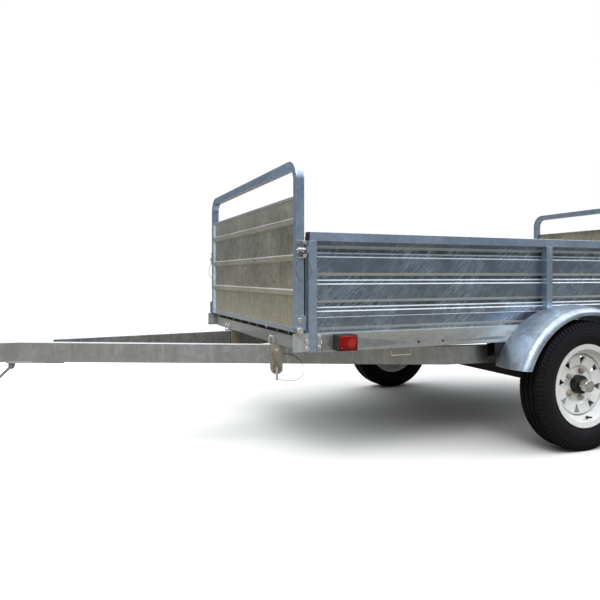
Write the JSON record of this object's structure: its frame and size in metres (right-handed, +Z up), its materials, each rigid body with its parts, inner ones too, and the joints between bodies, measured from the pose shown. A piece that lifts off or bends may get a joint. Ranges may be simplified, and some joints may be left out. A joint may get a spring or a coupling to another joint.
{
  "type": "utility trailer",
  "caption": "Single-axle tilting utility trailer with corrugated galvanised sides, folding hoop gates at both ends, an A-frame tongue, a ball coupler and a folding prop stand.",
  "frame": {"origin": "on the ground, midway along and across the trailer", "axes": "+X to the rear, -X to the hitch, +Z up, the left side is -Y"},
  "size_m": [3.4954, 1.616, 1.131],
  "materials": {
    "galvanised": "hot-dip galvanised, bright spangle",
    "galvanised_sheet": "galvanised sheet, light scratches",
    "galvanised_deck": "galvanised deck, worn",
    "galvanised_tongue": "galvanised tube, dull",
    "plated_rusty": "zinc plate with light rust",
    "black_paint": "satin black paint",
    "tyre": "black tyre rubber",
    "wheel_paint": "silver wheel paint",
    "chrome": "bright plated",
    "black_plastic": "moulded black",
    "red_lens": "clear red lens",
    "wire": "bare stranded wire"
  },
  "bodies": {
    "tongue": {"coupler": "galvanised_tongue", "coupler_lever": "galvanised_tongue", "tilt_pins": "galvanised", "tongue_beam_left": "galvanised_tongue", "tongue_beam_right": "galvanised_tongue", "tongue_gusset": "plated_rusty", "tongue_nose": "galvanised_tongue"},
    "bed": {"axle": "black_paint", "corner_brackets": "galvanised", "cross_member_front": "galvanised", "cross_member_rear": "galvanised", "fender_left": "galvanised_sheet", "fender_right": "galvanised_sheet", "floor_bearers": "galvanised", "floor_deck": "galvanised_deck", "lamp_housings": "black_plastic", "lamp_lenses": "red_lens", "latch_catches": "galvanised", "leaf_springs": "black_paint", "lock_clevises": "plated_rusty", "lock_lanyard_left": "wire", "lock_lanyard_right": "wire", "posts_left": "galvanised", "posts_right": "galvanised", "rail_flanges": "galvanised", "rail_plugs": "black_plastic", "side_rail_left": "galvanised", "side_rail_right": "galvanised", "side_sheet_left": "galvanised_sheet", "side_sheet_right": "galvanised_sheet", "spring_clamps": "black_paint", "spring_hangers": "black_paint", "tilt_ears": "plated_rusty", "top_rail_left": "galvanised", "top_rail_right": "galvanised"},
    "prop_stand": {"prop_stand": "plated_rusty"},
    "front_gate": {"gate_feet_front": "galvanised", "gate_hoop_front": "galvanised", "gate_latches_front": "galvanised", "gate_panel_front": "galvanised_sheet", "latch_lanyard_left": "wire", "latch_lanyard_right": "wire"},
    "rear_gate": {"gate_feet_rear": "galvanised", "gate_hoop_rear": "galvanised", "gate_latches_rear": "galvanised", "gate_panel_rear": "galvanised_sheet"},
    "wheel_left": {"dust_cap_left": "chrome", "hub_left": "black_paint", "rim_left": "wheel_paint", "tyre_left": "tyre"},
    "wheel_right": {"dust_cap_right": "chrome", "hub_right": "black_paint", "rim_right": "wheel_paint", "tyre_right": "tyre"}
  },
  "joints": [
    {"name": "bed_tilt", "type": "hinge", "parent": "tongue", "child": "bed", "pos_m": [0.362, 0, 0.37902], "axis": [0, 1, 0], "range_deg": [0, 20]},
    {"name": "wheel_left_spin", "type": "hinge", "parent": "bed", "child": "wheel_left", "pos_m": [0.5955, -0.74, 0.265], "axis": [0, 1, 0], "continuous": true},
    {"name": "wheel_right_spin", "type": "hinge", "parent": "bed", "child": "wheel_right", "pos_m": [0.5955, 0.74, 0.265], "axis": [0, 1, 0], "continuous": true},
    {"name": "front_gate_fold", "type": "hinge", "parent": "bed", "child": "front_gate", "pos_m": [-0.604, 0, 0.519], "axis": [0, -1, 0], "range_deg": [0, 90]},
    {"name": "rear_gate_fold", "type": "hinge", "parent": "bed", "child": "rear_gate", "pos_m": [1.724, 0, 0.519], "axis": [0, 1, 0], "range_deg": [0, 147]},
    {"name": "prop_stand_fold", "type": "hinge", "parent": "tongue", "child": "prop_stand", "pos_m": [-1.556, 0, 0.3627], "axis": [0, -1, 0], "range_deg": [0, 110]}
  ]
}
